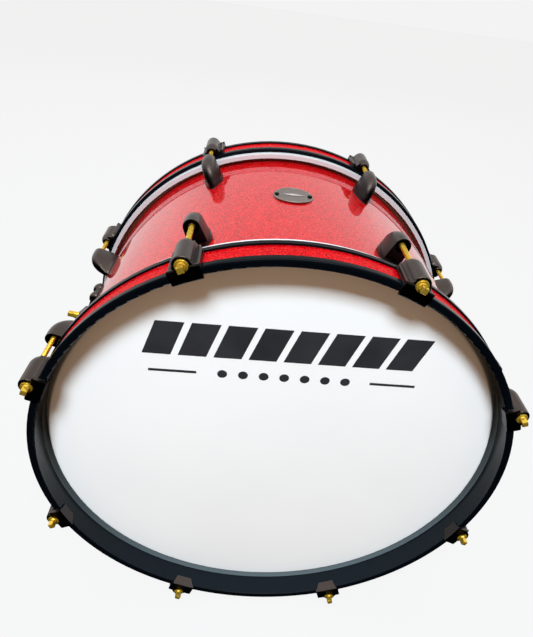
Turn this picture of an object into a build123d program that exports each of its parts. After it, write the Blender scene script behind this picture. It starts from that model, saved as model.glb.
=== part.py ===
"""Bass drum: a wrapped shell with two tensioned heads, standing on its hoops and two folding spurs.

Frame: +Z up, the drum's axis along Y at AXIS_Z, the front head towards -Y, the floor at Z = 0.
A piece that repeats round an end is drawn once, with X radial, Y tangential and Z along the
drum's axis out of that end, and is then copied round the end.
"""

from build123d import *
from math import atan2, cos, degrees, pi, radians, sin, tan
import os

os.makedirs("parts", exist_ok=True)

# ---- Shell: a 20 inch drum, 12 inches deep ----
SHELL_R = 254.0  # over the wrap
SHELL_DEPTH = 305.0
SHELL_T = 7.0
WRAP_T = 0.6
WRAP_EDGE = 3.5  # bare shell at each end, where its bearing edge rounds over
BEARING_EDGE = 3.0  # chamfer inside, from the inner face out to the ridge the head bears on

# ---- Hoops ----
HOOP_R = 270.0
HOOP_T = 8.5
HOOP_W = 40.0
HOOP_OVERHANG = 29.5  # from the shell's end to the hoop's outer face
GROOVE_W = 24.0
GROOVE_DEPTH = 3.0
INLAY_T = 0.8

# ---- Heads ----
FILM_T = 0.5
FILM_FLAT_R = 255.6
FILM_ROLL_R = 3.0
COLLAR_R = 261.3  # the film's outside where it enters the flesh hoop
COLLAR_SINK = 7.8
FLESH_HOOP_R = 265.4
FLESH_HOOP_W = 9.8
FLESH_LIP_T = 0.9

# ---- Tension rods, claws and lugs ----
LUGS = 8
ROD_CIRCLE_R = 276.5
ROD_R = 2.8
KEY_SIZE = 6.3
KEY_L = 8.3
KEY_COLLAR_R = 4.4
KEY_COLLAR_T = 1.4
FLANGE_R = 6.2
FLANGE_T = 1.5
WASHER_R = 6.4
WASHER_T = 0.8
THREAD_GAP = 0.06
CLAW_W = 30.0
CLAW_T = 3.0
PAD_T = 1.0
BOSS_R = 9.1
BOSS_L = 42.5
WING_TIP_R = 275.0  # the claw's wings, low over the hoop at each side of the boss
WING_DIP_R = 273.6
HOOK_L = 14.0
HOOK_T = 1.6
LUG_L = 46.0
LUG_W = 18.0
LUG_TOP_R = 285.2
LUG_FRONT = 7.0  # the foot runs out in front of the hood's mouth
LUG_BASE_W = 25.0
LUG_BASE_T = 3.2
GASKET_T = 1.5
ROD_BORE_R = 7.3
NUT_R = 4.3
NUT_FLANGE_R = 6.3
NUT_L = 13.0
LUG_SCREW_R = 2.5

# ---- Badge ----
BADGE_R = 23.5
BADGE_T = 1.8
BADGE_Y = 10.0
BADGE_SCREW_OFFSET = 19.5
BADGE_SCREW_R = 1.25

# ---- Spurs ----
SPUR_ANGLE = 77.0  # from the top of the shell, to each side
SPUR_Y = 10.0
SPUR_BASE_L = 98.0
SPUR_BASE_W = 42.0
SPUR_BASE_T = 4.5
SPUR_SCREW_ANGLE = 9.5  # round the shell from the pivot, up and down
SPUR_SCREW_SPREAD = 10.0
SPUR_SCREW_R = 3.0
SPUR_HUMP_R = 9.0
SPUR_BOSS_R = 17.0
SPUR_BOLT_R = 4.0
ARM_DISC_R = 15.5
SOCKET_R = 11.0
TUBE_R = 8.0
TUBE_L = 180.0
CLAMP_L = 20.0
LEG_R = 6.3
LEG_L = 265.0
FOOT_R = 13.0

# ---- Places worked out from the sizes above; the lengths run from the drum's middle ----
AXIS_Z = HOOP_R
SHELL_INNER_R = SHELL_R - SHELL_T
CORE_R = SHELL_R - WRAP_T
RIDGE_R = SHELL_INNER_R + BEARING_EDGE
HOOP_INNER_R = HOOP_R - HOOP_T
PAD_OUTER_R = HOOP_R + PAD_T + 0.1
SEAT_R = SHELL_R + GASKET_T
SHELL_END = SHELL_DEPTH / 2
FILM_FACE = SHELL_END + FILM_T
HOOP_FACE = SHELL_END + HOOP_OVERHANG
HOOP_BACK = HOOP_FACE - HOOP_W
HOOP_MID = HOOP_FACE - HOOP_W / 2
PAD_FACE = HOOP_FACE + PAD_T
PLATE_FACE = PAD_FACE + CLAW_T
WASHER_SEAT = PAD_FACE + 0.2
BOSS_FACE = WASHER_SEAT + WASHER_T
BOSS_TAIL = BOSS_FACE - BOSS_L
FLANGE_SEAT = BOSS_FACE + 0.05
LUG_MOUTH = HOOP_BACK - 37.0
LUG_TAIL = LUG_MOUTH - LUG_L
NUT_FACE = LUG_MOUTH - 3.0
NUT_BACK = NUT_FACE - NUT_L
ROD_END = NUT_BACK - 4.0
LUG_SCREWS = (LUG_MOUTH - 9.0, LUG_MOUTH - 34.0)

# Spur: heights above the drum's axis, and lengths along the leg from the folding bolt.
SPUR_BASE_TOP = SEAT_R + SPUR_BASE_T
SPUR_BOSS_TOP = SPUR_BASE_TOP + 2.0
ARM_BOTTOM = SPUR_BOSS_TOP + 0.5
ARM_TOP = ARM_BOTTOM + 8.0
LEG_HEIGHT = HOOP_R + SOCKET_R
SOCKET_START = 27.0
TUBE_START = SOCKET_START + 4.0
TUBE_END = TUBE_START + TUBE_L
LEG_START = 60.0
LEG_END = LEG_START + LEG_L
FOOT_START = LEG_END - 15.0
# The foot's round end just meets the floor.
SPLAY = radians(90 - SPUR_ANGLE)
FOOT_CENTRE = (AXIS_Z + LEG_HEIGHT * sin(SPLAY) - FOOT_R) / cos(SPLAY)

AXIS_POINT = (0, 0, AXIS_Z)
DRUM_AXIS = Axis(AXIS_POINT, (0, 1, 0))
FACING = {"front": -1, "rear": 1}
ENDS = tuple(FACING)
SIDES = {"left": -1, "right": 1}

# Copies round an end: X up, Z out of that end.
AROUND = {end: Plane(AXIS_POINT, x_dir=(0, 0, 1), z_dir=(0, way, 0)) for end, way in FACING.items()}
# Half sections that turn about the drum's axis: X radial, Y out of that end.
SECTION = {end: Plane(AXIS_POINT, x_dir=(0, 0, 1), z_dir=(-way, 0, 0)) for end, way in FACING.items()}
# A spur: X down along the leg, Z out of the shell, through the folding bolt.
SPUR = {
    side: Plane(
        (0, SPUR_Y, AXIS_Z),
        x_dir=(way * sin(SPLAY), 0, -cos(SPLAY)),
        z_dir=(way * cos(SPLAY), 0, sin(SPLAY)),
    )
    for side, way in SIDES.items()
}


def save(piece, name):
    """Label a finished piece and write it as its own node."""
    piece.part.label = name
    export_step(piece.part, f"parts/{name}.step")


def out_of_shell(angle, y, height):
    """A plane facing out of the shell, at an angle from the top and a height above the axis."""
    outwards = (sin(radians(angle)), 0, cos(radians(angle)))
    return Plane((0, y, AXIS_Z), x_dir=(0, 1, 0), z_dir=outwards).offset(height)


def shell_pins(places, radius, start, length):
    """Radial pins at (angle, y) places, for drilling the shell or for screw shanks."""
    with BuildPart() as pins:
        for angle, y in places:
            with BuildSketch(out_of_shell(angle, y, start)):
                Circle(radius)
            extrude(amount=length)
    return pins.part


# ================= Shell, wrap and badge =================

lug_angles = [360 / LUGS * (i + 0.5) for i in range(LUGS)]
lug_screw_places = [(angle, way * y) for angle in lug_angles for way in (-1, 1) for y in LUG_SCREWS]
spur_screw_places = [
    (way * (SPUR_ANGLE + down * SPUR_SCREW_ANGLE), SPUR_Y + across * SPUR_SCREW_SPREAD)
    for way in (-1, 1)
    for down in (-1, 1)
    for across in (-1, 1)
]
badge_screw_angle = degrees(BADGE_SCREW_OFFSET / SHELL_R)
badge_screw_places = [(-badge_screw_angle, BADGE_Y), (badge_screw_angle, BADGE_Y)]

lug_drills = shell_pins(lug_screw_places, LUG_SCREW_R + 0.3, SHELL_INNER_R - 5, 20)
spur_drills = shell_pins(spur_screw_places, SPUR_SCREW_R + 0.3, SHELL_INNER_R - 5, 20)
badge_drills = shell_pins(badge_screw_places, BADGE_SCREW_R, SHELL_INNER_R - 5, 20)

with BuildPart() as shell:
    with BuildSketch(SECTION["rear"]):
        with BuildLine():
            for end in (-1, 1):
                ridge = (RIDGE_R, end * SHELL_END)
                side = (CORE_R, end * (SHELL_END - (CORE_R - RIDGE_R)))
                Line((SHELL_INNER_R, 0), (SHELL_INNER_R, end * (SHELL_END - BEARING_EDGE)))
                Line((SHELL_INNER_R, end * (SHELL_END - BEARING_EDGE)), ridge)
                RadiusArc(ridge, side, end * (CORE_R - RIDGE_R))
                Line(side, (CORE_R, 0))
        make_face()
    revolve(axis=DRUM_AXIS)
    add(lug_drills, mode=Mode.SUBTRACT)
    add(spur_drills, mode=Mode.SUBTRACT)
    add(badge_drills, mode=Mode.SUBTRACT)
save(shell, "shell")

with BuildPart() as wrap:
    with BuildSketch(SECTION["rear"]):
        with Locations((SHELL_R - WRAP_T / 2, 0)):
            Rectangle(WRAP_T, SHELL_DEPTH - 2 * WRAP_EDGE)
    revolve(axis=DRUM_AXIS)
    add(lug_drills, mode=Mode.SUBTRACT)
    add(spur_drills, mode=Mode.SUBTRACT)
    add(badge_drills, mode=Mode.SUBTRACT)
save(wrap, "shell_wrap")

with BuildPart() as badge:
    with BuildSketch(out_of_shell(0, BADGE_Y, SHELL_R - 3)):
        Circle(BADGE_R)
    extrude(amount=10)
    with Locations(Location(AXIS_POINT, (90, 0, 0))):
        Cylinder(SHELL_R + BADGE_T, SHELL_DEPTH, mode=Mode.INTERSECT)
        Cylinder(SHELL_R, SHELL_DEPTH, mode=Mode.SUBTRACT)
    add(badge_drills, mode=Mode.SUBTRACT)
save(badge, "badge")

with BuildPart() as badge_screws:
    add(shell_pins(badge_screw_places, BADGE_SCREW_R, SHELL_INNER_R + 1, SHELL_T + BADGE_T))
    for angle, y in badge_screw_places:
        with BuildSketch(out_of_shell(angle, y, SHELL_R + BADGE_T)):
            Circle(3.0)
        extrude(amount=1.4, taper=20)
save(badge_screws, "badge_screws")

# ================= Hoops, inlays and heads =================

for end in ENDS:
    with BuildPart() as hoop:
        with BuildSketch(SECTION[end]) as section:
            with Locations((HOOP_R - HOOP_T / 2, HOOP_MID)):
                Rectangle(HOOP_T, HOOP_W)
            fillet(section.vertices().group_by(Axis.X)[-1], 2.8)
            fillet(section.vertices().sort_by(Axis.X)[0:2].sort_by(Axis.Y)[-1], 1.8)
            with Locations((HOOP_R - GROOVE_DEPTH / 2, HOOP_MID)):
                Rectangle(GROOVE_DEPTH, GROOVE_W, mode=Mode.SUBTRACT)
        revolve(axis=DRUM_AXIS)
    save(hoop, f"{end}_hoop")

    with BuildPart() as inlay:
        with BuildSketch(SECTION[end]):
            with Locations((HOOP_R - GROOVE_DEPTH + INLAY_T / 2, HOOP_MID)):
                Rectangle(INLAY_T, GROOVE_W - 0.2)
        revolve(axis=DRUM_AXIS)
    save(inlay, f"{end}_hoop_inlay")

    # The film lies flat over the ridge, folds down and slants out into the flesh hoop's slot.
    slant = atan2(COLLAR_R - FILM_FLAT_R, FILM_FACE - HOOP_BACK)
    fold_inset = FILM_T * tan((pi / 2 - slant) / 2)
    with BuildPart() as head:
        with BuildSketch(SECTION[end]) as section:
            with BuildLine():
                Polyline(
                    (0, FILM_FACE),
                    (FILM_FLAT_R, FILM_FACE),
                    (COLLAR_R, HOOP_BACK),
                    (COLLAR_R, HOOP_BACK - COLLAR_SINK),
                    (COLLAR_R - FILM_T, HOOP_BACK - COLLAR_SINK),
                    (COLLAR_R - FILM_T, HOOP_BACK - FILM_T * tan(slant / 2)),
                    (FILM_FLAT_R - fold_inset, SHELL_END),
                    (0, SHELL_END),
                    close=True,
                )
            make_face()
            levels = section.vertices().group_by(Axis.Y)
            fillet(levels[-1].sort_by(Axis.X)[-1], FILM_ROLL_R)
            fillet(levels[-2].sort_by(Axis.X)[-1], FILM_ROLL_R - FILM_T)
        revolve(axis=DRUM_AXIS)
    save(head, f"{end}_head")

    with BuildPart() as flesh_hoop:
        lip_r = COLLAR_R - FILM_T - FLESH_LIP_T
        with BuildSketch(SECTION[end]):
            with Locations(((FLESH_HOOP_R + lip_r) / 2, HOOP_BACK - FLESH_HOOP_W / 2)):
                Rectangle(FLESH_HOOP_R - lip_r, FLESH_HOOP_W)
            with Locations((COLLAR_R - FILM_T / 2, HOOP_BACK - COLLAR_SINK / 2)):
                Rectangle(FILM_T + 0.2, COLLAR_SINK + 0.2, mode=Mode.SUBTRACT)
        revolve(axis=DRUM_AXIS)
    save(flesh_hoop, f"{end}_flesh_hoop")

# ================= Claws, drawn once =================

claw_half_angle = degrees(CLAW_W / 2 / HOOP_R)


def turned_section():
    """The plane for a profile (radius, height) that turns a little way round the drum's axis."""
    return Plane.XZ.rotated((0, 0, -claw_half_angle))


with BuildPart() as pad:
    with BuildSketch(turned_section()):
        with BuildLine():
            Polyline(
                (HOOP_INNER_R + 2, HOOP_FACE),
                (HOOP_INNER_R + 2, PAD_FACE),
                (PAD_OUTER_R, PAD_FACE),
                (PAD_OUTER_R, HOOP_FACE - 34),
                (HOOP_R + 0.1, HOOP_FACE - 34),
                (HOOP_R + 0.1, HOOP_FACE),
                close=True,
            )
        make_face()
    revolve(axis=Axis.Z, revolution_arc=2 * claw_half_angle)

with BuildPart() as claw:
    # Low wings over the hoop, in section: dipping beside the boss and rising to their tips.
    with BuildSketch(Plane.XY.offset(BOSS_TAIL)):
        with BuildLine():
            tip = CLAW_W / 2
            Polyline((ROD_CIRCLE_R, 0), (HOOP_INNER_R, 0), (HOOP_INNER_R, tip), (WING_TIP_R - 1.5, tip))
            RadiusArc((WING_TIP_R - 1.5, tip), (WING_TIP_R, tip - 1.5), -1.5)
            Spline(
                (WING_TIP_R, tip - 1.5),
                (WING_DIP_R, tip - 4.6),
                (ROD_CIRCLE_R + 2, BOSS_R - 0.6),
                tangents=((0, -1), (1, -0.35)),
            )
            Polyline((ROD_CIRCLE_R + 2, BOSS_R - 0.6), (ROD_CIRCLE_R + 2, 0), (ROD_CIRCLE_R, 0))
        make_face()
        mirror(about=Plane.XZ)
    extrude(amount=BOSS_L)
    # In plan they round off towards the lug.
    with BuildSketch(Plane.YZ):
        with BuildLine():
            shoulder = BOSS_TAIL + 13
            EllipticalCenterArc(
                (0, shoulder), CLAW_W / 2 + 0.1, shoulder - BOSS_TAIL + 0.5, start_angle=180, arc_size=180
            )
            Polyline(
                (CLAW_W / 2 + 0.1, shoulder),
                (CLAW_W / 2 + 0.1, BOSS_FACE + 1),
                (-CLAW_W / 2 - 0.1, BOSS_FACE + 1),
                (-CLAW_W / 2 - 0.1, shoulder),
            )
        make_face()
    extrude(amount=LUG_TOP_R + 10, mode=Mode.INTERSECT)
    # Boss round the rod, with both its ends rounded off.
    with BuildSketch(Plane.XZ):
        with BuildLine():
            boss_top = ROD_CIRCLE_R + BOSS_R
            front_edge = (boss_top - 2.5, BOSS_FACE)
            tail_edge = (ROD_CIRCLE_R + 5.6, BOSS_TAIL)
            Polyline(tail_edge, (ROD_CIRCLE_R, BOSS_TAIL), (ROD_CIRCLE_R, BOSS_FACE), front_edge)
            RadiusArc(front_edge, (boss_top, BOSS_FACE - 2.5), 2.5)
            Line((boss_top, BOSS_FACE - 2.5), (boss_top, BOSS_TAIL + 11))
            RadiusArc((boss_top, BOSS_TAIL + 11), tail_edge, 20)
        make_face()
    revolve(axis=Axis((ROD_CIRCLE_R, 0, 0), (0, 0, 1)))
    # Room for the hoop and the pad.
    with BuildSketch(Plane.XY.offset(PAD_FACE)):
        Circle(PAD_OUTER_R)
    extrude(amount=-60, mode=Mode.SUBTRACT)
    # Plate across the hoop's face, hooked over its inner edge.
    with BuildSketch(turned_section()):
        with BuildLine():
            Polyline(
                (HOOP_INNER_R - HOOK_T, PLATE_FACE - 1.2),
                (HOOP_INNER_R - HOOK_T + 1.2, PLATE_FACE),
                (ROD_CIRCLE_R - 2.4, PLATE_FACE),
                (ROD_CIRCLE_R - 1.2, PLATE_FACE - 1.2),
                (ROD_CIRCLE_R - 1.2, PAD_FACE),
                (HOOP_INNER_R - 0.2, PAD_FACE),
                (HOOP_INNER_R - 0.2, PLATE_FACE - HOOK_L),
                (HOOP_INNER_R - HOOK_T, PLATE_FACE - HOOK_L),
                close=True,
            )
        make_face()
    revolve(axis=Axis.Z, revolution_arc=2 * claw_half_angle)
    # The hook's lip is narrower than the plate, with slanting ends.
    with BuildSketch(Plane.YZ):
        for side in (-1, 1):
            with BuildLine():
                corner = side * (CLAW_W / 2 + 1)
                Polyline(
                    (side * (CLAW_W / 2 - 1.5), PAD_FACE - 1),
                    (side * (CLAW_W / 2 - 5.5), PLATE_FACE - HOOK_L - 1),
                    (corner, PLATE_FACE - HOOK_L - 1),
                    (corner, PAD_FACE - 1),
                    close=True,
                )
            make_face()
    extrude(amount=HOOP_INNER_R - 0.1, mode=Mode.SUBTRACT)
    # Clearance for the rod, and the seat for its washer.
    with BuildSketch(Plane.XY.offset(BOSS_FACE)):
        with Locations((ROD_CIRCLE_R, 0)):
            Circle(WASHER_R + 1.2)
    extrude(amount=10, mode=Mode.SUBTRACT)
    with BuildSketch(Plane.XY.offset(WASHER_SEAT)):
        with Locations((ROD_CIRCLE_R, 0)):
            Circle(WASHER_R + 0.1)
    extrude(amount=10, mode=Mode.SUBTRACT)
    with BuildSketch(Plane.XY.offset(WASHER_SEAT)):
        with Locations((ROD_CIRCLE_R, 0)):
            Circle(ROD_R + 0.8)
    extrude(amount=-60, mode=Mode.SUBTRACT)

# ================= Lugs, drawn once =================


def teardrop_plan(width):
    """A lug's foot in plan, on a plane facing out of the shell: X across, Y along the drum."""
    with BuildSketch(Plane.YZ) as plan:
        with BuildLine():
            half = width / 2
            widest = LUG_MOUTH - 13
            EllipticalCenterArc((0, widest), half, LUG_MOUTH + LUG_FRONT - widest, arc_size=180)
            Spline(
                (-half, widest),
                (-half * 0.68, LUG_TAIL + 13),
                (0, LUG_TAIL),
                (half * 0.68, LUG_TAIL + 13),
                (half, widest),
                tangents=((0, -1), (0, 1)),
            )
        make_face()
    return plan.sketch


def arch(z, half_width, top, foot_half_width):
    """One cross section of a lug's hood: leaning sides under a round top."""
    shoulder = top - half_width
    foot = CORE_R - 4
    with BuildSketch(Plane.XY.offset(z)) as section:
        with BuildLine():
            Polyline(
                (shoulder, half_width),
                (foot, foot_half_width),
                (foot, -foot_half_width),
                (shoulder, -half_width),
            )
            ThreePointArc((shoulder, -half_width), (top, 0), (shoulder, half_width))
        make_face()
    return section.sketch


with BuildPart() as lug_foot:
    extrude(teardrop_plan(LUG_BASE_W), SHELL_R + 12)
    with BuildSketch(Plane.XY):
        Circle(SEAT_R + LUG_BASE_T)
    extrude(amount=SHELL_END, mode=Mode.INTERSECT)
    with BuildSketch(Plane.XY):
        Circle(SEAT_R)
    extrude(amount=SHELL_END, mode=Mode.SUBTRACT)

with BuildPart() as lug:
    loft(
        [
            arch(LUG_MOUTH, LUG_W / 2 - 0.4, LUG_TOP_R, 10.5),
            arch(LUG_MOUTH - 13, LUG_W / 2, LUG_TOP_R - 0.2, 12.2),
            arch(LUG_MOUTH - 25, LUG_W / 2 - 0.9, LUG_TOP_R - 3.2, 10.8),
            arch(LUG_MOUTH - 36, LUG_W / 2 - 3.2, LUG_TOP_R - 11, 7.2),
            arch(LUG_TAIL + 1.5, LUG_W / 2 - 6.4, LUG_TOP_R - 24, 2.8),
        ]
    )
    with BuildSketch(Plane.XY):
        Circle(SEAT_R + LUG_BASE_T - 1)
    extrude(amount=SHELL_END, mode=Mode.SUBTRACT)
    add(lug_foot.part)
    # Hood's mouth, nut's barrel, the slot its flange drops into, and the rod's end.
    for z0, z1, radius in (
        (NUT_BACK + 3, LUG_MOUTH + 1, ROD_BORE_R),
        (NUT_BACK, NUT_BACK + 3, NUT_R + 0.05),
        (ROD_END - 2, NUT_BACK, ROD_R + 0.8),
    ):
        with BuildSketch(Plane.XY.offset(z0)):
            with Locations((ROD_CIRCLE_R, 0)):
                Circle(radius)
        extrude(amount=z1 - z0, mode=Mode.SUBTRACT)
    with BuildSketch(Plane.XY.offset(NUT_BACK)):
        with Locations((ROD_CIRCLE_R, 0)):
            Circle(NUT_FLANGE_R + 0.3)
        with Locations((ROD_CIRCLE_R - 15, 0)):
            Rectangle(30, 2 * NUT_FLANGE_R + 0.6)
    extrude(amount=2.6, mode=Mode.SUBTRACT)
    for z in LUG_SCREWS:
        with BuildSketch(Plane((0, 0, z), x_dir=(0, 1, 0), z_dir=(1, 0, 0)).offset(CORE_R)):
            Circle(LUG_SCREW_R)
        extrude(amount=12.6, mode=Mode.SUBTRACT)

with BuildPart() as lug_gasket:
    extrude(teardrop_plan(LUG_BASE_W - 0.6), SHELL_R + 8)
    with BuildSketch(Plane.XY):
        Circle(SEAT_R)
    extrude(amount=SHELL_END, mode=Mode.INTERSECT)
    with BuildSketch(Plane.XY):
        Circle(SHELL_R)
    extrude(amount=SHELL_END, mode=Mode.SUBTRACT)
    for z in LUG_SCREWS:
        with BuildSketch(Plane((0, 0, z), x_dir=(0, 1, 0), z_dir=(1, 0, 0)).offset(CORE_R)):
            Circle(LUG_SCREW_R + 0.3)
        extrude(amount=12.6, mode=Mode.SUBTRACT)

with BuildPart() as nut:
    with BuildSketch(Plane.XY.offset(NUT_BACK)):
        with Locations((ROD_CIRCLE_R, 0)):
            Circle(NUT_FLANGE_R)
    extrude(amount=2.5)
    with BuildSketch(Plane.XY.offset(NUT_BACK)):
        with Locations((ROD_CIRCLE_R, 0)):
            Circle(NUT_R)
    extrude(amount=NUT_L)
    chamfer(nut.edges().sort_by(Axis.Z)[-1], 0.6)
    with BuildSketch(Plane.XY.offset(NUT_BACK)):
        with Locations((ROD_CIRCLE_R, 0)):
            Circle(ROD_R + THREAD_GAP)
    extrude(amount=NUT_L, mode=Mode.SUBTRACT)

with BuildPart() as washer:
    with BuildSketch(Plane.XY.offset(WASHER_SEAT)):
        with Locations((ROD_CIRCLE_R, 0)):
            Circle(WASHER_R)
            Circle(ROD_R + 0.4, mode=Mode.SUBTRACT)
    extrude(amount=WASHER_T)

with BuildPart() as rod:
    with BuildSketch(Plane.XY.offset(ROD_END)):
        with Locations((ROD_CIRCLE_R, 0)):
            Circle(ROD_R)
    extrude(amount=FLANGE_SEAT - ROD_END)
    chamfer(rod.edges().sort_by(Axis.Z)[0], 0.8)
    with BuildSketch(Plane.XY.offset(FLANGE_SEAT)):
        with Locations((ROD_CIRCLE_R, 0)):
            Circle(FLANGE_R)
    extrude(amount=FLANGE_T)
    fillet(rod.edges().filter_by(GeomType.CIRCLE).sort_by(Axis.Z)[-1], 0.6)
    with BuildSketch(Plane.XY.offset(FLANGE_SEAT + FLANGE_T)):
        with Locations((ROD_CIRCLE_R, 0)):
            Circle(KEY_COLLAR_R)
    extrude(amount=KEY_COLLAR_T, taper=20)
    with BuildSketch(Plane.XY.offset(FLANGE_SEAT + FLANGE_T)):
        with Locations((ROD_CIRCLE_R, 0)):
            RectangleRounded(KEY_SIZE, KEY_SIZE, 0.8)
    extrude(amount=KEY_L)
    chamfer(rod.faces().sort_by(Axis.Z)[-1].edges(), 0.7)

with BuildPart() as lug_screw:
    for z in LUG_SCREWS:
        out = Plane((0, 0, z), x_dir=(0, 1, 0), z_dir=(1, 0, 0))
        with BuildSketch(out.offset(SHELL_INNER_R - 3.6)):
            Circle(4.5)
        extrude(amount=3.5)
        with BuildSketch(out.offset(SHELL_INNER_R - 0.5)):
            Circle(LUG_SCREW_R)
        extrude(amount=18.5)

# Each of these sets is one node at each end of the drum.
round_each_end = {
    "claw_pads": pad,
    "claws": claw,
    "lugs": lug,
    "lug_gaskets": lug_gasket,
    "swivel_nuts": nut,
    "rod_washers": washer,
    "lug_screws": lug_screw,
}
for end in ENDS:
    for name, piece in round_each_end.items():
        with BuildPart(AROUND[end]) as ring:
            with PolarLocations(0, LUGS, start_angle=180 / LUGS):
                add(piece.part)
        save(ring, f"{end}_{name}")

    # Each tension rod turns, so each is a node of its own.
    for i in range(LUGS):
        with BuildPart(AROUND[end]) as tension_rod:
            with PolarLocations(0, 1, start_angle=360 / LUGS * (i + 0.5)):
                add(rod.part)
        save(tension_rod, f"{end}_tension_rod_{i + 1}")

# ================= Spurs =================


def curved_plate(plan, inner, outer):
    """A plate of that plan, curved with the shell between two radii, for each spur's own plane."""
    with BuildPart() as plate:
        extrude(plan, outer + 10)
        with Locations(Location((0, 0, 0), (90, 0, 0))):
            Cylinder(outer, SHELL_DEPTH, mode=Mode.INTERSECT)
            Cylinder(inner, SHELL_DEPTH, mode=Mode.SUBTRACT)
    return plate.part


def bracket_plan(grow):
    """A spur bracket's foot in plan, with X along the leg and Y along the drum."""
    with BuildSketch() as plan:
        RectangleRounded(SPUR_BASE_L + grow, SPUR_BASE_W + grow, 14 + grow / 2)
    return plan.sketch


def screw_axes():
    """Planes facing out of the shell at a spur bracket's screws, in the spur's own frame."""
    for down in (-1, 1):
        lean = radians(down * SPUR_SCREW_ANGLE)
        for across in (-1, 1):
            foot = (0, across * SPUR_SCREW_SPREAD, 0)
            yield down, Plane(foot, x_dir=(0, 1, 0), z_dir=(sin(lean), 0, cos(lean)))


with BuildPart() as base:
    add(curved_plate(bracket_plan(0), SEAT_R, SPUR_BASE_TOP))
    # Humps over the two upper screws.
    for down, out in screw_axes():
        if down < 0:
            with Locations(out.offset(SEAT_R - 1).location):
                Sphere(SPUR_HUMP_R)
    with BuildSketch(Plane.XY.offset(SHELL_R)):
        Circle(SPUR_BOSS_R)
    extrude(amount=SPUR_BOSS_TOP - SHELL_R)
    with Locations(Location((0, 0, 0), (90, 0, 0))):
        Cylinder(SEAT_R, SHELL_DEPTH, mode=Mode.SUBTRACT)
    # Threaded through for the folding bolt; blind under each screw.
    with BuildSketch(Plane.XY.offset(SPUR_BOSS_TOP)):
        Circle(SPUR_BOLT_R + THREAD_GAP)
    extrude(amount=-15, mode=Mode.SUBTRACT)
    for down, out in screw_axes():
        with BuildSketch(out.offset(SHELL_R)):
            Circle(SPUR_SCREW_R)
        extrude(amount=4.5, mode=Mode.SUBTRACT)

with BuildPart() as spur_gasket:
    add(curved_plate(bracket_plan(2), SHELL_R, SEAT_R))
    for down, out in screw_axes():
        with BuildSketch(out.offset(SHELL_R - 5)):
            Circle(SPUR_SCREW_R + 0.3)
        extrude(amount=12, mode=Mode.SUBTRACT)

with BuildPart() as arm:
    # Disc that turns on the bracket, with a sloping top.
    with BuildSketch(Plane.XZ):
        with BuildLine():
            Polyline(
                (0, ARM_BOTTOM),
                (0, ARM_TOP),
                (7, ARM_TOP),
                (ARM_DISC_R - 1, ARM_TOP - 5),
                (ARM_DISC_R, ARM_TOP - 6),
                (ARM_DISC_R, ARM_BOTTOM),
                close=True,
            )
        make_face()
    revolve(axis=Axis.Z)
    # Neck that steps out from the disc to the leg's socket.
    with BuildSketch(Plane.XZ.offset(-9)):
        with BuildLine():
            socket_top = LEG_HEIGHT + SOCKET_R
            Polyline(
                (5, ARM_BOTTOM),
                (SOCKET_START - 5, ARM_BOTTOM),
                (SOCKET_START + 12, LEG_HEIGHT - 8),
                (SOCKET_START + 12, socket_top - 2),
                (SOCKET_START + 1, socket_top - 2),
                (15, ARM_TOP - 3),
                (5, ARM_TOP - 0.5),
                close=True,
            )
        make_face()
    extrude(amount=18)
    with BuildSketch(Plane.YZ.offset(SOCKET_START)):
        with Locations((0, LEG_HEIGHT)):
            Circle(SOCKET_R)
    extrude(amount=26)
    chamfer(arm.edges().filter_by(GeomType.CIRCLE).sort_by(Axis.X)[-1], 1.5)
    with BuildSketch(Plane.YZ.offset(TUBE_START)):
        with Locations((0, LEG_HEIGHT)):
            Circle(TUBE_R)
    extrude(amount=30, mode=Mode.SUBTRACT)
    with BuildSketch(Plane.XY.offset(ARM_BOTTOM)):
        Circle(SPUR_BOLT_R + THREAD_GAP)
    extrude(amount=ARM_TOP - ARM_BOTTOM, mode=Mode.SUBTRACT)

with BuildPart() as spur_bolt:
    with BuildSketch(Plane.XY.offset(SEAT_R + 0.6)):
        Circle(SPUR_BOLT_R)
    extrude(amount=ARM_TOP + 0.3 - SEAT_R - 0.6)
    with BuildSketch(Plane.XY.offset(ARM_TOP + 0.3)):
        Circle(FLANGE_R)
    extrude(amount=FLANGE_T)
    fillet(spur_bolt.edges().filter_by(GeomType.CIRCLE).sort_by(Axis.Z)[-1], 0.6)
    with BuildSketch(Plane.XY.offset(ARM_TOP + 0.3 + FLANGE_T)):
        Circle(KEY_COLLAR_R)
    extrude(amount=4)
    with BuildSketch(Plane.XY.offset(ARM_TOP + 0.3 + FLANGE_T)):
        RectangleRounded(KEY_SIZE, KEY_SIZE, 0.8)
    extrude(amount=4 + KEY_L)
    chamfer(spur_bolt.faces().sort_by(Axis.Z)[-1].edges(), 0.7)

with BuildPart() as tube:
    with BuildSketch(Plane.YZ.offset(TUBE_START)):
        with Locations((0, LEG_HEIGHT)):
            Circle(TUBE_R)
            Circle(LEG_R + THREAD_GAP, mode=Mode.SUBTRACT)
    extrude(amount=TUBE_L)

with BuildPart() as clamp:
    with BuildSketch(Plane.YZ.offset(TUBE_END - CLAMP_L)):
        with Locations((0, LEG_HEIGHT)):
            Circle(TUBE_R + 4)
        with Locations((0, LEG_HEIGHT + TUBE_R + 4)):
            RectangleRounded(13, 14, 2)
        with Locations((0, LEG_HEIGHT)):
            Circle(TUBE_R, mode=Mode.SUBTRACT)
        with Locations((0, LEG_HEIGHT + TUBE_R + 6)):
            Rectangle(1.6, 16, mode=Mode.SUBTRACT)
    extrude(amount=CLAMP_L)

with BuildPart() as leg:
    with BuildSketch(Plane.YZ.offset(LEG_START)):
        with Locations((0, LEG_HEIGHT)):
            Circle(LEG_R)
    extrude(amount=LEG_L)
    chamfer(leg.edges(), 0.8)

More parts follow.
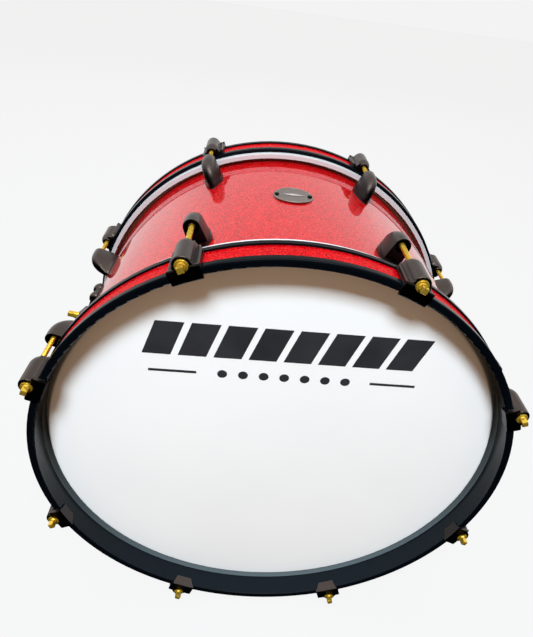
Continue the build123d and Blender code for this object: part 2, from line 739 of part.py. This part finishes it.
with BuildPart() as foot:
    with BuildSketch(Plane.XZ):
        with BuildLine():
            Polyline(
                (FOOT_CENTRE + FOOT_R, LEG_HEIGHT),
                (LEG_END + 1, LEG_HEIGHT),
                (LEG_END + 1, LEG_HEIGHT + LEG_R + THREAD_GAP),
                (FOOT_START, LEG_HEIGHT + LEG_R + THREAD_GAP),
                (FOOT_START, LEG_HEIGHT + FOOT_R - 3),
                (FOOT_START + 5, LEG_HEIGHT + FOOT_R),
                (FOOT_CENTRE, LEG_HEIGHT + FOOT_R),
            )
            RadiusArc((FOOT_CENTRE, LEG_HEIGHT + FOOT_R), (FOOT_CENTRE + FOOT_R, LEG_HEIGHT), FOOT_R)
        make_face()
    revolve(axis=Axis((0, 0, LEG_HEIGHT), (1, 0, 0)))

one_each_side = {
    "spur_base": base,
    "spur_arm": arm,
    "spur_bolt": spur_bolt,
    "leg_tube": tube,
    "leg_clamp": clamp,
    "leg_rod": leg,
    "rubber_foot": foot,
}
for side in SIDES:
    for name, piece in one_each_side.items():
        with BuildPart(SPUR[side]) as placed:
            add(piece.part)
        save(placed, f"{side}_{name}")

with BuildPart(*SPUR.values()) as spur_gaskets:
    add(spur_gasket.part)
save(spur_gaskets, "spur_gaskets")

with BuildPart() as spur_screws:
    add(shell_pins(spur_screw_places, SPUR_SCREW_R, SHELL_INNER_R - 1, 12.2))
    add(shell_pins(spur_screw_places, 5.5, SHELL_INNER_R - 4.6, 4.4))
save(spur_screws, "spur_screws")
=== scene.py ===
"""Looks of the bass drum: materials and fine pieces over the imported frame, a studio and the camera."""

from math import cos, pi, radians, sin

import bmesh
import bpy
from mathutils import Matrix, Vector


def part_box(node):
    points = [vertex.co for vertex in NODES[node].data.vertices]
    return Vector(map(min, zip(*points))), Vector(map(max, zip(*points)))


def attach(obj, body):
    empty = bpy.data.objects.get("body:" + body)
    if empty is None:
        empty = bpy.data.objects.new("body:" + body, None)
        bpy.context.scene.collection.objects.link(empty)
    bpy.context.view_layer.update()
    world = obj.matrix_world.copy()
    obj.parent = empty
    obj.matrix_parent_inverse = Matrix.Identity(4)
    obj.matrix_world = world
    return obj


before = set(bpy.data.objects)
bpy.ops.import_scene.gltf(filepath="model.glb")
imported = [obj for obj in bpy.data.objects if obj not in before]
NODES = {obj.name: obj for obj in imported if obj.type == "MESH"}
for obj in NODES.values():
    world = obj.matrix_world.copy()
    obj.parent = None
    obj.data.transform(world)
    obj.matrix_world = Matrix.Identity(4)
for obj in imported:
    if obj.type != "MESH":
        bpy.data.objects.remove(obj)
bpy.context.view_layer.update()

MM = 0.001
ENDS = ("front", "rear")
SIDES = ("left", "right")
NICKEL_AT_ENDS = ("claws", "lugs")
NICKEL_AT_SIDES = ("spur_base", "spur_arm", "leg_clamp")


# ---------------------------------------------------------------- places, read from the frame

hoop_low, hoop_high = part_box("front_hoop")
AXIS_Z = (hoop_low.z + hoop_high.z) / 2
HOOP_R = (hoop_high.z - hoop_low.z) / 2
FILM_FACE = -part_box("front_head")[0].y
SHELL_R = (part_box("shell_wrap")[1].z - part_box("shell_wrap")[0].z) / 2
badge_low, badge_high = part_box("badge")
BADGE_Y = (badge_low.y + badge_high.y) / 2
BADGE_R = (badge_high.y - badge_low.y) / 2
BADGE_TOP_R = badge_high.z - AXIS_Z

INNER_FACE_FROM = 8.3 * MM  # below the hoop's outer face, just short of its 8.5 mm wall
# Reach of the painted reflection of the film, a grey band on the hoop's inner face.
FILM_REFLECTION_REACH = 2.4 * MM  # how far the film's grey edge shows on the hoop's inner face
FLAKE = 0.8 * MM
THREAD_PITCH = 1.06 * MM
THREAD_END = 137 * MM  # where a rod's thread stops, from the drum's middle

BARS, BAR_W, BAR_GAP, BAR_SLANT = 8, 29 * MM, 7.4 * MM, 14 * MM
BAR_LOW, BAR_HIGH = 405 * MM, 446 * MM
RULE_LOW, RULE_H, RULE_W = 382 * MM, 3.2 * MM, 50 * MM
RULE_X = 118 * MM  # from the head's middle to each rule's
DOTS, DOT_R, DOT_STEP, DOT_POINTS = 7, 5.2 * MM, 22 * MM, 32
VINYL_FRONT, VINYL_BACK = 0.18 * MM, 0.02 * MM  # in front of the film

RIM_R = (BADGE_R - 2.4 * MM, BADGE_R - 0.3 * MM)
RIM_RISE = 0.55 * MM
LOZENGE_HALF = (13 * MM, 3.0 * MM)
LOZENGE_TIP = 0.25 * MM
LOZENGE_RISE = 0.3 * MM
RELIEF_SINK = 0.1 * MM  # how deep the badge's relief is let into it


# ---------------------------------------------------------------- material helpers


class Look:
    """A node material in the making, with its Principled shader ready."""

    def __init__(self, name, **sockets):
        self.material = bpy.data.materials.new(name)
        self.material.use_nodes = True
        self.tree = self.material.node_tree
        self.shader = self.tree.nodes["Principled BSDF"]
        for socket, value in sockets.items():
            self.shader.inputs[socket.replace("_", " ")].default_value = value
        self.place = self.add("ShaderNodeTexCoord").outputs["Object"]

    def add(self, kind, links=None, **values):
        """A node of that kind; values set its properties, links feed its sockets by name or index."""
        made = self.tree.nodes.new(kind)
        for key, value in values.items():
            setattr(made, key, value)
        for socket, source in (links or {}).items():
            if isinstance(source, bpy.types.NodeSocket):
                self.tree.links.new(source, made.inputs[socket])
            else:
                made.inputs[socket].default_value = source
        return made

    def feed(self, socket, source):
        self.tree.links.new(source, self.shader.inputs[socket])

    def math(self, operation, a, b=0.0):
        return self.add("ShaderNodeMath", {0: a, 1: b}, operation=operation).outputs[0]

    def vector(self, operation, links):
        return self.add("ShaderNodeVectorMath", links, operation=operation).outputs[0]

    def noise(self, scale, detail=3.0, roughness=0.5):
        sockets = {"Vector": self.place, "Scale": scale, "Detail": detail, "Roughness": roughness}
        return self.add("ShaderNodeTexNoise", sockets).outputs["Fac"]

    def cells(self, size):
        """A random colour in each cell of about that size."""
        made = self.add("ShaderNodeTexVoronoi", {"Vector": self.place, "Scale": 1 / size})
        return made.outputs["Color"]

    def ramp(self, source, *stops):
        """Colours along source, from the given (position, colour) stops."""
        made = self.add("ShaderNodeValToRGB", {0: source})
        marks = made.color_ramp.elements
        for i, (position, colour) in enumerate(stops):
            mark = marks[i] if i < 2 else marks.new(position)
            mark.position = position
            mark.color = (*colour, 1)
        return made.outputs["Color"]

    def spread(self, source, low, high):
        """A grey from 0..1 spread over low..high."""
        ends = {"Value": source, "To Min": low, "To Max": high}
        return self.add("ShaderNodeMapRange", ends).outputs[0]

    def mix(self, amount, under, colour):
        """A plain colour laid over another by amount."""
        links = {0: amount, 6: under, 7: (*colour, 1)}
        return self.add("ShaderNodeMix", links, data_type="RGBA").outputs[2]

    def bump(self, height, strength, distance):
        links = {"Height": height, "Strength": strength, "Distance": distance}
        self.feed("Normal", self.add("ShaderNodeBump", links).outputs["Normal"])

    def radius(self):
        """Distance from the drum's axis."""
        x, _, z = self.xyz(self.place)
        high = self.math("SUBTRACT", z, AXIS_Z)
        squares = self.math("MULTIPLY", x, x), self.math("MULTIPLY", high, high)
        return self.math("SQRT", self.math("ADD", *squares))

    def along(self):
        """Distance from the drum's middle, along its axis."""
        return self.math("ABSOLUTE", self.xyz(self.place)[1])

    def facing(self):
        """The surface's own normal."""
        return self.add("ShaderNodeNewGeometry").outputs["Normal"]

    def xyz(self, vector):
        return self.add("ShaderNodeSeparateXYZ", {0: vector}).outputs


def dress(look, *names):
    """Gives a finished look to CAD nodes, by name."""
    for name in names:
        node = NODES[name]
        for slot in node.material_slots:
            slot.material = look.material


def at_both_ends(*names):
    return [f"{end}_{name}" for end in ENDS for name in names]


def on_both_sides(*names):
    return [f"{side}_{name}" for side in SIDES for name in names]


# ---------------------------------------------------------------- looks


def sparkle(name, gloss):
    """Fine metal flake in deep red under a clear sheet."""
    look = Look(name, Metallic=0.3, Specular_IOR_Level=0.0,
                Coat_Weight=gloss, Coat_Roughness=0.02, Coat_IOR=1.5)
    colour = look.cells(FLAKE)
    pick = look.add("ShaderNodeSeparateColor", {0: colour}).outputs
    flakes = look.ramp(pick[0], (0.0, (0.05, 0.0, 0.0)), (0.16, (0.27, 0.0, 0.002)),
                       (0.36, (0.64, 0.0, 0.004)), (0.9, (0.76, 0.002, 0.006)),
                       (0.99, (0.9, 0.08, 0.07)))
    cloud = look.ramp(look.noise(420, 3, 0.65), (0.34, (0.7, 0.7, 0.7)), (0.5, (1.0, 1.0, 1.0)))
    look.feed("Base Color", look.add("ShaderNodeMix", {0: 1.0, 6: flakes, 7: cloud}, data_type="RGBA",
                                     blend_type="MULTIPLY").outputs[2])
    look.feed("Roughness", look.spread(pick[1], 0.25, 0.5))
    tilt = look.vector("SUBTRACT", {0: colour, 1: (0.5, 0.5, 0.5)})
    tilt = look.vector("SCALE", {0: tilt, "Scale": 0.45})
    tilted = look.vector("ADD", {0: look.facing(), 1: tilt})
    look.feed("Normal", look.vector("NORMALIZE", {0: tilted}))
    return look


def black_lacquer():
    """Gloss black, a little paler on the hoop's inner face, with a painted reflection of the film as a
    grey band beside it.
    """
    look = Look("black_lacquer", Specular_IOR_Level=0.08)
    black = look.ramp(look.noise(8, 3), (0.3, (0.0011, 0.0018, 0.0028)), (0.7, (0.0017, 0.0027, 0.0042)))
    inside = look.math("LESS_THAN", look.radius(), HOOP_R - INNER_FACE_FROM)
    beside_film = look.math("LESS_THAN", look.along(), FILM_FACE + FILM_REFLECTION_REACH)
    paler = look.mix(inside, black, (0.006, 0.0092, 0.0125))
    # Painted reflection of the film: a grey band on the hoop's inner face next to the film.
    painted_film_reflection = look.math("MULTIPLY", inside, beside_film)
    look.feed("Base Color", look.mix(painted_film_reflection, paler, (0.1, 0.122, 0.13)))
    look.feed("Roughness", look.spread(look.noise(60, 4), 0.06, 0.16))
    look.bump(look.noise(350, 2), 0.05, 0.0003)
    return look


def black_nickel():
    """Dark satin plate with painted top light: warmer and paler on the faces that look up."""
    look = Look("black_nickel", Metallic=1.0)
    # Painted top light: the base colour is paler and warmer where the surface faces up, with a little
    # random mottle mixed in.
    up = look.xyz(look.facing())[2]
    painted_top_light_and_wear = look.math("ADD", up, look.math("MULTIPLY", look.noise(45, 4), 0.3))
    look.feed("Base Color", look.ramp(painted_top_light_and_wear, (0.35, (0.022, 0.022, 0.025)), (0.95, (0.108, 0.088, 0.079)),
                                      (0.6, (0.042, 0.035, 0.033))))
    look.feed("Roughness", look.spread(look.noise(180, 5), 0.26, 0.4))
    look.bump(look.noise(1400, 3), 0.12, 0.0003)
    return look


def gold(name, threaded):
    """Gold plate; on a tension rod, rolled thread from its end to just short of the claw."""
    look = Look(name, Metallic=0.8, Specular_IOR_Level=0.5)
    look.feed("Base Color", look.ramp(look.noise(140, 3), (0.3, (0.93, 0.52, 0.035)),
                                      (0.7, (1.0, 0.68, 0.09))))
    look.feed("Roughness", look.spread(look.noise(60, 3), 0.09, 0.15))
    if not threaded:
        look.bump(look.noise(1200, 2), 0.03, 0.0002)
        return look
    turns = look.math("SINE", look.math("MULTIPLY", look.xyz(look.place)[1], 2 * pi / THREAD_PITCH))
    cut = look.math("LESS_THAN", look.along(), THREAD_END)
    look.bump(look.math("MULTIPLY", turns, cut), 0.45, 0.0004)
    return look


def white_film():
    """Coated white film."""
    look = Look("white_film", Specular_IOR_Level=0.25)
    tooth = look.noise(2600, 2)
    look.feed("Base Color", look.ramp(look.noise(6, 3), (0.3, (0.89, 0.89, 0.89)),
                                      (0.7, (0.92, 0.92, 0.915))))
    look.feed("Roughness", look.spread(tooth, 0.42, 0.55))
    look.bump(tooth, 0.05, 0.0002)
    return look


def vinyl():
    """Matt dark grey film of the printed graphic."""
    look = Look("graphic_vinyl", Specular_IOR_Level=0.3)
    look.feed("Base Color", look.ramp(look.noise(25, 4), (0.3, (0.022, 0.022, 0.026)),
                                      (0.7, (0.034, 0.034, 0.038))))
    look.feed("Roughness", look.spread(look.noise(300, 4), 0.35, 0.5))
    look.bump(look.noise(1500, 2), 0.05, 0.0002)
    return look


def brushed_aluminium():
    """Bare metal with a fine brushed grain."""
    look = Look("flesh_hoop_aluminium", Metallic=0.3, Specular_IOR_Level=0.4, Anisotropic=0.4)
    grain = look.noise(700, 5, 0.7)
    look.feed("Base Color", look.ramp(grain, (0.3, (0.66, 0.66, 0.67)), (0.7, (0.76, 0.76, 0.77))))
    look.feed("Roughness", look.spread(grain, 0.25, 0.45))
    look.bump(grain, 0.1, 0.0003)
    return look


def rubber():
    """Matt black rubber."""
    look = Look("black_rubber", Specular_IOR_Level=0.3)
    look.feed("Base Color", look.ramp(look.noise(90, 5), (0.3, (0.012, 0.012, 0.013)),
                                      (0.7, (0.03, 0.029, 0.028))))
    look.feed("Roughness", look.spread(look.noise(300, 5), 0.55, 0.85))
    look.bump(look.noise(1500, 4), 0.3, 0.0004)
    return look


def maple():
    """Bare plies: pale wood with long grain round the shell."""
    look = Look("shell_wood", Specular_IOR_Level=0.35)
    stretch = look.add("ShaderNodeMapping", {0: look.place, 3: (18, 220, 18)}).outputs[0]
    sockets = {"Vector": stretch, "Scale": 1.0, "Detail": 8.0}
    grain = look.add("ShaderNodeTexNoise", sockets).outputs["Fac"]
    look.feed("Base Color", look.ramp(grain, (0.3, (0.32, 0.17, 0.075)), (0.55, (0.55, 0.35, 0.18)),
                                      (0.8, (0.66, 0.46, 0.26))))
    look.feed("Roughness", look.spread(grain, 0.4, 0.62))
    look.bump(grain, 0.25, 0.0006)
    return look


def steel(name, tone, rough):
    """Plated or painted metal of that tone, clouded a little darker in places."""
    look = Look(name, Metallic=1.0)
    darker = tuple(0.85 * c for c in tone)
    look.feed("Base Color", look.ramp(look.noise(120, 4), (0.3, darker), (0.7, tone)))
    look.feed("Roughness", look.spread(look.noise(400, 4), rough, rough + 0.15))
    look.bump(look.noise(900, 3), 0.1, 0.0003)
    return look


def dress_frame():
    """Every CAD node's look."""
    rods = [f"tension_rod_{i}" for i in range(1, 9)]
    dress(sparkle("red_sparkle_wrap", gloss=1.0), "shell_wrap")
    dress(sparkle("red_sparkle_inlay", gloss=0.12), *at_both_ends("hoop_inlay"))
    dress(maple(), "shell")
    dress(black_lacquer(), *at_both_ends("hoop"))
    dress(white_film(), *at_both_ends("head"))
    dress(brushed_aluminium(), *at_both_ends("flesh_hoop"))
    dress(black_nickel(), *at_both_ends(*NICKEL_AT_ENDS), *on_both_sides(*NICKEL_AT_SIDES))
    dress(gold("gold_thread", threaded=True), *at_both_ends(*rods))
    dress(gold("gold_plating", threaded=False), *at_both_ends("rod_washers"),
          *on_both_sides("spur_bolt"))
    dress(steel("nut_zinc", (0.1, 0.09, 0.08), 0.3), *at_both_ends("swivel_nuts"))
    dress(rubber(), *at_both_ends("claw_pads", "lug_gaskets"), *on_both_sides("rubber_foot"),
          "spur_gaskets")
    dress(steel("badge_silver", (0.3, 0.255, 0.225), 0.25), "badge")
    dress(steel("black_screw", (0.006, 0.006, 0.007), 0.4), "badge_screws")
    dress(steel("zinc_screw", (0.7, 0.71, 0.74), 0.25), *at_both_ends("lug_screws"), "spur_screws")
    dress(steel("black_chrome_tube", (0.1, 0.1, 0.105), 0.12), *on_both_sides("leg_tube"))
    dress(steel("bright_chrome_leg", (0.75, 0.76, 0.79), 0.06), *on_both_sides("leg_rod"))


# ---------------------------------------------------------------- fine pieces


def finish_piece(name, made, look, body, smooth=False):
    """Turns drawn faces into a piece, dresses it and rides it on its body."""
    bmesh.ops.recalc_face_normals(made, faces=made.faces)
    mesh = bpy.data.meshes.new(name)
    made.to_mesh(mesh)
    made.free()
    if smooth:
        mesh.shade_smooth()
    piece = bpy.data.objects.new(name, mesh)
    bpy.context.collection.objects.link(piece)
    mesh.materials.append(look.material)
    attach(piece, body)


def skin(made, rings):
    """Joins each ring of points to the following one."""
    for ring, following in zip(rings, rings[1:]):
        for k in range(len(ring)):
            m = (k + 1) % len(ring)
            made.faces.new((ring[k], ring[m], following[m], following[k]))


def slab(left, right, low, high, slant=0.0):
    """Outline of a flat bar whose top is pushed to the right by slant."""
    return [(left, low), (right, low), (right + slant, high), (left + slant, high)]


def graphic_outlines():
    """A plain pattern for the front head: slanted bars over two rules and a row of dots, as (x, z)."""
    outlines = []
    start = -(BARS * BAR_W + (BARS - 1) * BAR_GAP) / 2 - BAR_SLANT / 2
    for i in range(BARS):
        x = start + i * (BAR_W + BAR_GAP)
        outlines.append(slab(x, x + BAR_W, BAR_LOW, BAR_HIGH, BAR_SLANT))
    for x in (-RULE_X, RULE_X):
        outlines.append(slab(x - RULE_W / 2, x + RULE_W / 2, RULE_LOW, RULE_LOW + RULE_H))
    turns = [2 * pi * k / DOT_POINTS for k in range(DOT_POINTS)]
    dot_z = RULE_LOW + RULE_H / 2
    for i in range(DOTS):
        x = (i - (DOTS - 1) / 2) * DOT_STEP
        outlines.append([(x + DOT_R * cos(turn), dot_z + DOT_R * sin(turn)) for turn in turns])
    return outlines


def make_head_graphic():
    """Thin vinyl cut-outs on the front head's film."""
    made = bmesh.new()
    for outline in graphic_outlines():
        front = [made.verts.new((x, -FILM_FACE - VINYL_FRONT, z)) for x, z in outline]
        back = [made.verts.new((x, -FILM_FACE - VINYL_BACK, z)) for x, z in outline]
        made.faces.new(front)
        made.faces.new(back[::-1])
        skin(made, [back, front])
    finish_piece("front_head_graphic", made, vinyl(), "drum")


def on_shell(across, along, radius):
    """A point over the badge: across the drum by arc length, along it from the badge's centre."""
    angle = across / SHELL_R
    return (radius * sin(angle), BADGE_Y + along, AXIS_Z + radius * cos(angle))


def relief_rings(made, rows):
    """Closed rings from rows of (across, along, rise): the row over the badge, its underside in it."""
    rings = []
    for row in rows:
        top = [made.verts.new(on_shell(x, y, BADGE_TOP_R + rise)) for x, y, rise in row]
        under = [made.verts.new(on_shell(x, y, BADGE_TOP_R - RELIEF_SINK)) for x, y, _ in reversed(row)]
        rings.append(top + under)
    return rings


def rim_rows():
    """Rows across the badge's rim, each with a rounded crown."""
    inner, outer = RIM_R
    steps, points = 96, 7
    shares = [k / (points - 1) for k in range(points)]
    for i in range(steps):
        turn = 2 * pi * i / steps
        row = []
        for share in shares:
            r = inner + (outer - inner) * share
            row.append((r * cos(turn), r * sin(turn), RIM_RISE * sin(pi * share) ** 0.5))
        yield row


def lozenge_rows():
    """Rows along the badge's lozenge, widest in its middle."""
    half_length, half_width = LOZENGE_HALF
    rows = 40
    for i in range(rows + 1):
        x = -half_length + 2 * half_length * i / rows
        reach = half_width * (1 - abs(x) / half_length) + LOZENGE_TIP
        yield [(x, reach * share, LOZENGE_RISE) for share in (-1, -0.5, 0, 0.5, 1)]


def make_badge_relief():
    """A raised rim and a plain lozenge across the badge's middle."""
    made = bmesh.new()
    rings = relief_rings(made, rim_rows())
    skin(made, rings + rings[:1])
    finish_piece("badge_rim", made, steel("badge_rim", (0.42, 0.38, 0.34), 0.32),
                 "drum", smooth=True)

    made = bmesh.new()
    rings = relief_rings(made, lozenge_rows())
    skin(made, rings)
    made.faces.new(rings[0])
    made.faces.new(rings[-1][::-1])
    finish_piece("badge_lozenge", made, steel("badge_bar", (0.9, 0.88, 0.86), 0.12),
                 "drum")


def soften_edges(width, *names):
    """Fine rounded edges on pieces that would otherwise end in knife edges."""
    for name in names:
        bevel = NODES[name].modifiers.new("edges", "BEVEL")
        bevel.width = width
        bevel.segments = 2
        bevel.limit_method = "ANGLE"
        bevel.angle_limit = radians(40)


# ---------------------------------------------------------------- studio and camera


def make_floor():
    """Pale paper, mostly lit evenly, with only a faint shadow."""
    reach = 12.0
    corners = [(-reach, -reach, 0), (reach, -reach, 0), (reach, reach, 0), (-reach, reach, 0)]
    mesh = bpy.data.meshes.new("floor")
    mesh.from_pydata(corners, [], [(0, 1, 2, 3)])
    floor = bpy.data.objects.new("floor", mesh)
    bpy.context.collection.objects.link(floor)
    look = Look("floor", Base_Color=(0.05, 0.05, 0.05, 1), Roughness=0.9, Specular_IOR_Level=0.0,
                Emission_Color=(1, 1, 1, 1), Emission_Strength=0.85)
    mesh.materials.append(look.material)
    floor.visible_glossy = False
    floor.visible_diffuse = False


def world_shade(tree, along, *stops):
    """A background whose colour runs along one direction of the room, from -1 behind it to 1."""
    place = tree.nodes.new("ShaderNodeTexCoord").outputs["Generated"]
    dot = tree.nodes.new("ShaderNodeVectorMath")
    dot.operation = "DOT_PRODUCT"
    tree.links.new(place, dot.inputs[0])
    dot.inputs[1].default_value = Vector(along).normalized()
    spread = tree.nodes.new("ShaderNodeMapRange")
    spread.inputs["From Min"].default_value = -1
    tree.links.new(dot.outputs["Value"], spread.inputs["Value"])
    ramp = tree.nodes.new("ShaderNodeValToRGB")
    tree.links.new(spread.outputs[0], ramp.inputs[0])
    marks = ramp.color_ramp.elements
    for i, (position, colour) in enumerate(stops):
        mark = marks[i] if i < 2 else marks.new(position)
        mark.position = position
        mark.color = (*colour, 1)
    shade = tree.nodes.new("ShaderNodeBackground")
    tree.links.new(ramp.outputs["Color"], shade.inputs["Color"])
    return shade


def make_world():
    """A white studio: the gloss sees it bright behind and above the drum and dark in front of it."""
    world = bpy.data.worlds.new("studio")
    bpy.context.scene.world = world
    world.use_nodes = True
    tree = world.node_tree
    tree.nodes.clear()
    gloss = world_shade(tree, (0, 0.75, 0.65), (0.5, (0.006, 0.01, 0.016)), (0.68, (0.85, 0.85, 0.85)),
                        (0.62, (0.03, 0.03, 0.032)), (0.85, (1.0, 1.0, 1.0)), (1.0, (0.72, 0.72, 0.72)))
    soft = world_shade(tree, (0, 0.8, 0.6), (0.5, (0.32, 0.21, 0.135)), (0.8, (0.62, 0.62, 0.62)))
    plain = tree.nodes.new("ShaderNodeBackground")
    plain.inputs["Color"].default_value = (0.895, 0.895, 0.895, 1)
    ray = tree.nodes.new("ShaderNodeLightPath")
    seen = soft
    for test, shade in (("Is Glossy Ray", gloss), ("Is Camera Ray", plain)):
        joined = tree.nodes.new("ShaderNodeMixShader")
        tree.links.new(ray.outputs[test], joined.inputs[0])
        tree.links.new(seen.outputs[0], joined.inputs[1])
        tree.links.new(shade.outputs[0], joined.inputs[2])
        seen = joined
    out = tree.nodes.new("ShaderNodeOutputWorld")
    tree.links.new(seen.outputs[0], out.inputs[0])


def make_light(name, place, aim, size, power, tone=(1, 1, 1), gloss_only=False):
    """A soft box, seen either by the gloss alone or by all but the gloss."""
    light = bpy.data.lights.new(name, "AREA")
    light.shape = "RECTANGLE"
    light.size, light.size_y = size
    light.energy = power
    light.color = tone
    lamp = bpy.data.objects.new(name, light)
    lamp.location = place
    lamp.rotation_mode = "QUATERNION"
    lamp.rotation_quaternion = (Vector(aim) - Vector(place)).to_track_quat("-Z", "Y")
    lamp.visible_diffuse = not gloss_only
    lamp.visible_glossy = gloss_only
    bpy.context.collection.objects.link(lamp)


def make_camera():
    """Stands in front of the drum, above it and a little to its left, looking down at it."""
    yaw, pitch, roll = radians(6.02), radians(33.75), radians(7.75)
    forward = Vector((sin(yaw) * cos(pitch), cos(yaw) * cos(pitch), -sin(pitch)))
    level = Vector((cos(yaw), -sin(yaw), 0))
    upright = level.cross(forward)
    right = cos(roll) * level + sin(roll) * upright
    up = cos(roll) * upright - sin(roll) * level
    camera = bpy.data.cameras.new("camera")
    camera.lens = 29.9
    camera.sensor_width = 36
    camera.shift_x = -0.0229
    camera.shift_y = 0.0057
    camera.dof.use_dof = False
    holder = bpy.data.objects.new("camera", camera)
    holder.matrix_world = Matrix((right, up, -forward)).transposed().to_4x4()
    holder.location = (-0.0570, -0.5857, 0.7457)
    bpy.context.collection.objects.link(holder)
    bpy.context.scene.camera = holder


def make_studio():
    """Floor, world and lights: the front key throws the hoop's shadow on the film."""
    make_floor()
    make_world()
    middle = (0, 0, AXIS_Z)
    hoop_top = (0, -FILM_FACE, AXIS_Z + HOOP_R)
    make_light("ceiling_light", (0.0, 0.6, 2.6), middle, (2.4, 1.4), 8)
    make_light("back_key", (0.0, 2.8, 2.25), middle, (1.4, 0.5), 36)
    make_light("front_key", (-0.5, -2.15, 3.35), hoop_top, (1.0, 0.75), 222, (0.78, 0.91, 1.0))
    make_light("overhead_panel", (0.0, -0.4, 2.3), middle, (1.6, 0.35), 12, gloss_only=True)
    view = bpy.context.scene.view_settings
    view.view_transform = "Standard"
    view.look = "None"


# ---------------------------------------------------------------- the drum

make_camera()
make_studio()
dress_frame()
make_head_graphic()
make_badge_relief()
soften_edges(0.45 * MM, *at_both_ends(*NICKEL_AT_ENDS), *on_both_sides(*NICKEL_AT_SIDES))
soften_edges(0.8 * MM, *at_both_ends("hoop"))
